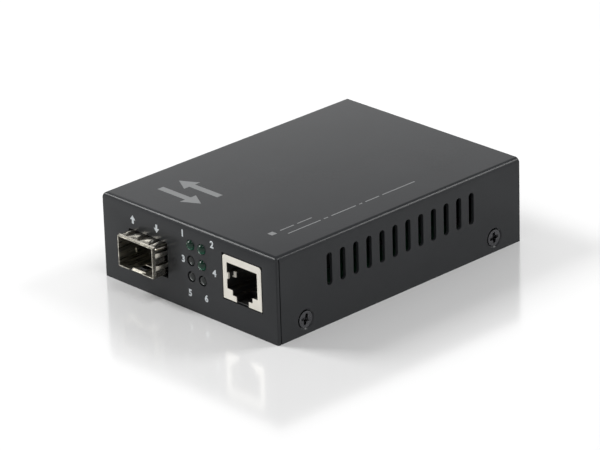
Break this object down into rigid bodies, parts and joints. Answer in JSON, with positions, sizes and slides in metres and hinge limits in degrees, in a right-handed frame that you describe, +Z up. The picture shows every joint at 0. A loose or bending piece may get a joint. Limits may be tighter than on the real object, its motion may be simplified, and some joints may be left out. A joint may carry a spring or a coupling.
{
  "type": "fibre media converter",
  "caption": "Desktop fibre media converter: folded dark steel box with side vents, a sprung cage for a fibre module, a copper network jack, status lamps and a rear power inlet.",
  "frame": {"origin": "middle of the bottom face of the casing", "axes": "+X to the right across the front panel, -Y out of the front panel, +Z up"},
  "size_m": [0.071, 0.102, 0.026],
  "materials": {
    "cover_paint": "dark grey powder coat with a fine grain",
    "screw_black": "black plated, satin",
    "plated_steel": "zinc plated, satin",
    "board_green": "solder mask, slight gloss",
    "cage_nickel": "nickel plated, satin",
    "black_plastic": "moulded, matt",
    "gold_contact": "gold plated, polished",
    "jack_cream": "moulded, satin",
    "lamp_green": "clear dyed resin, polished",
    "tinned_metal": "tinned, bright",
    "ferrite": "sintered, matt",
    "small_chip": "glazed",
    "tan_chip": "ceramic, matt"
  },
  "bodies": {
    "root": {"top_cover": "cover_paint", "base_tray": "cover_paint", "cover_screws": "screw_black", "board_standoffs": "plated_steel", "board_screws": "plated_steel", "main_board": "board_green", "module_cage": "cage_nickel", "cage_floor": "cage_nickel", "spring_collar": "cage_nickel", "host_connector": "black_plastic", "converter_chip": "black_plastic", "config_memory": "black_plastic", "isolation_magnetics": "black_plastic", "voltage_regulator": "black_plastic", "input_diode": "black_plastic", "inlet_body": "black_plastic", "lamp_holder_left": "black_plastic", "lamp_holder_right": "black_plastic", "host_contacts": "gold_contact", "jack_contacts": "gold_contact", "jack_housing": "jack_cream", "jack_carrier": "jack_cream", "lamp_1": "lamp_green", "lamp_2": "lamp_green", "lamp_3": "lamp_green", "lamp_4": "lamp_green", "lamp_5": "lamp_green", "lamp_6": "lamp_green", "lamp_leads": "tinned_metal", "inlet_pin": "tinned_metal", "inlet_contacts": "tinned_metal", "clock_crystal": "tinned_metal", "filter_capacitors": "tinned_metal", "power_inductor": "ferrite", "chip_resistors": "small_chip", "chip_capacitors": "tan_chip"}
  },
  "joints": []
}
